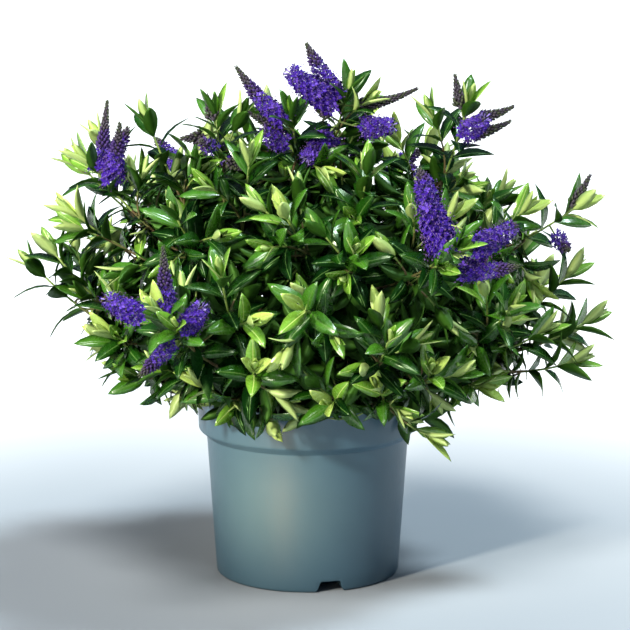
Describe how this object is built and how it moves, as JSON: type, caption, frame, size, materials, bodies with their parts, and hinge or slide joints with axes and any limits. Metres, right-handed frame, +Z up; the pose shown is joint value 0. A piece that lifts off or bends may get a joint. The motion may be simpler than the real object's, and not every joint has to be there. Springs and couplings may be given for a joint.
{
  "type": "potted flowering shrub",
  "caption": "Rounded evergreen shrub with glossy lance-shaped leaves and violet flower spikes, growing in a tapered plastic nursery pot that stands on its flat underside.",
  "frame": {"origin": "centre of the pot's flat underside, on the surface that the plant stands on", "axes": "+Z up, -Y towards the front, +X to the right seen from the front, along the crown's widest side"},
  "size_m": [0.6145, 0.5355, 0.545],
  "materials": {
    "pot": "satin grey-blue moulded plastic",
    "compost": "dark crumbly potting compost",
    "bark": "grey-brown bark, green on young twigs",
    "foliage": "glossy green leaves",
    "blossom": "soft violet-blue flower spikes"
  },
  "bodies": {
    "root": {"pot": "pot", "root_ball": "compost", "stem": "bark", "bough_skirt_1": "bark", "bough_skirt_2": "bark", "bough_skirt_3": "bark", "bough_skirt_4": "bark", "bough_skirt_5": "bark", "bough_skirt_6": "bark", "bough_skirt_7": "bark", "bough_shoulder_1": "bark", "bough_shoulder_2": "bark", "bough_shoulder_3": "bark", "bough_shoulder_4": "bark", "bough_shoulder_5": "bark", "bough_crest": "bark", "foliage_skirt_1": "foliage", "foliage_skirt_2": "foliage", "foliage_skirt_3": "foliage", "foliage_skirt_4": "foliage", "foliage_skirt_5": "foliage", "foliage_skirt_6": "foliage", "foliage_skirt_7": "foliage", "foliage_shoulder_1": "foliage", "foliage_shoulder_2": "foliage", "foliage_shoulder_3": "foliage", "foliage_shoulder_4": "foliage", "foliage_shoulder_5": "foliage", "foliage_crest": "foliage"}
  },
  "joints": []
}
